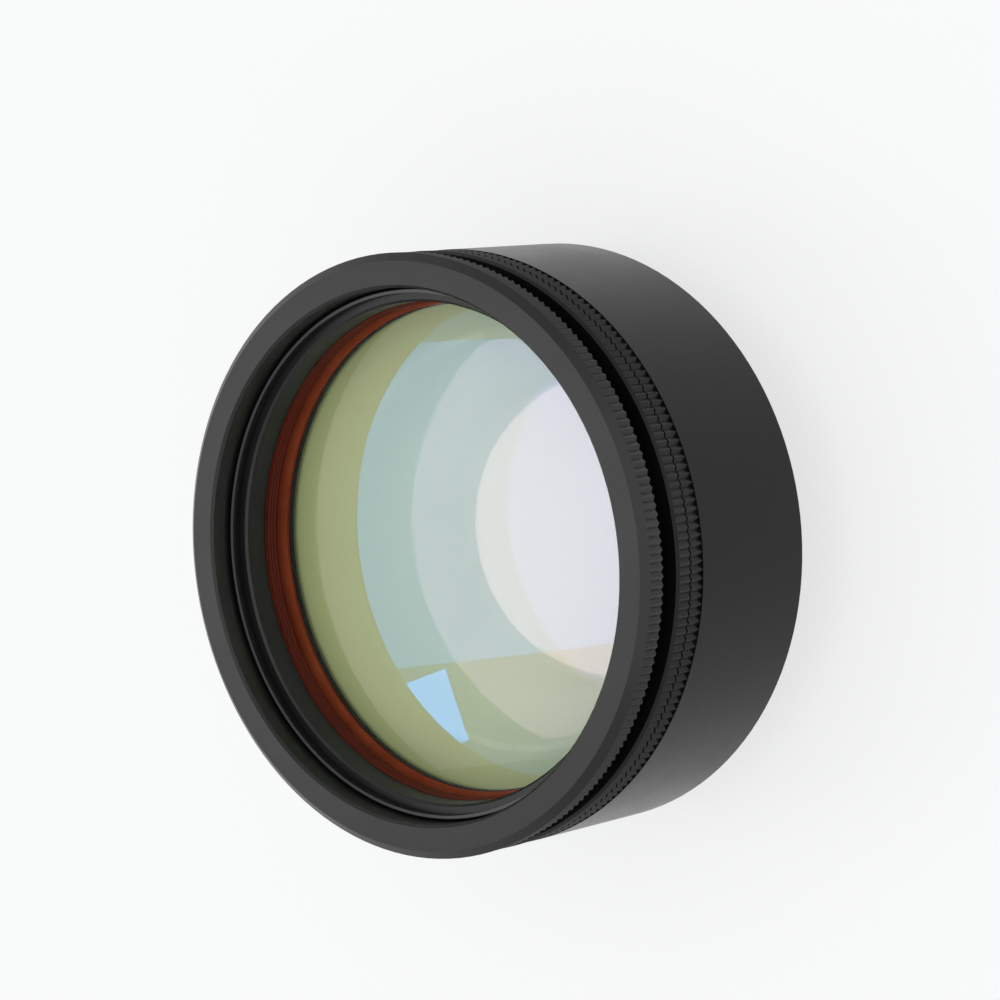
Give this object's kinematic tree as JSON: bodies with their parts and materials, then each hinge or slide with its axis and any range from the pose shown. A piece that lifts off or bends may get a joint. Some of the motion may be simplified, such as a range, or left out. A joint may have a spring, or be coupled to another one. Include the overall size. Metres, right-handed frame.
{
  "type": "f theta scan lens",
  "caption": "Turned black scan lens with a knurled protective-window cell at the front, stepped glass elements inside and an external mounting thread at the rear.",
  "frame": {"origin": "on the optical axis, at the rear end face that the lens stands on", "axes": "+Z along the optical axis, from the mounting thread towards the protective window"},
  "size_m": [0.114, 0.114, 0.0655],
  "materials": {
    "anodised": "matt black anodised, fine turned",
    "black_rubber": "smooth elastomer",
    "silicone": "brick-red silicone, satin",
    "window_glass": "polished, broadband laser coating",
    "front_glass": "polished, yellow-green coating",
    "middle_glass": "polished, blue-green coating",
    "rear_glass": "polished, faint lavender coating"
  },
  "bodies": {
    "root": {"barrel": "anodised", "window_cell": "anodised", "cell_o_ring": "black_rubber", "window_gasket": "silicone", "protective_window": "window_glass", "window_seal": "silicone", "window_clamp_ring": "anodised", "front_lens": "front_glass", "front_lens_ring": "anodised", "middle_lens": "middle_glass", "middle_lens_ring": "anodised", "rear_lens": "rear_glass", "rear_lens_ring": "anodised"}
  },
  "joints": []
}
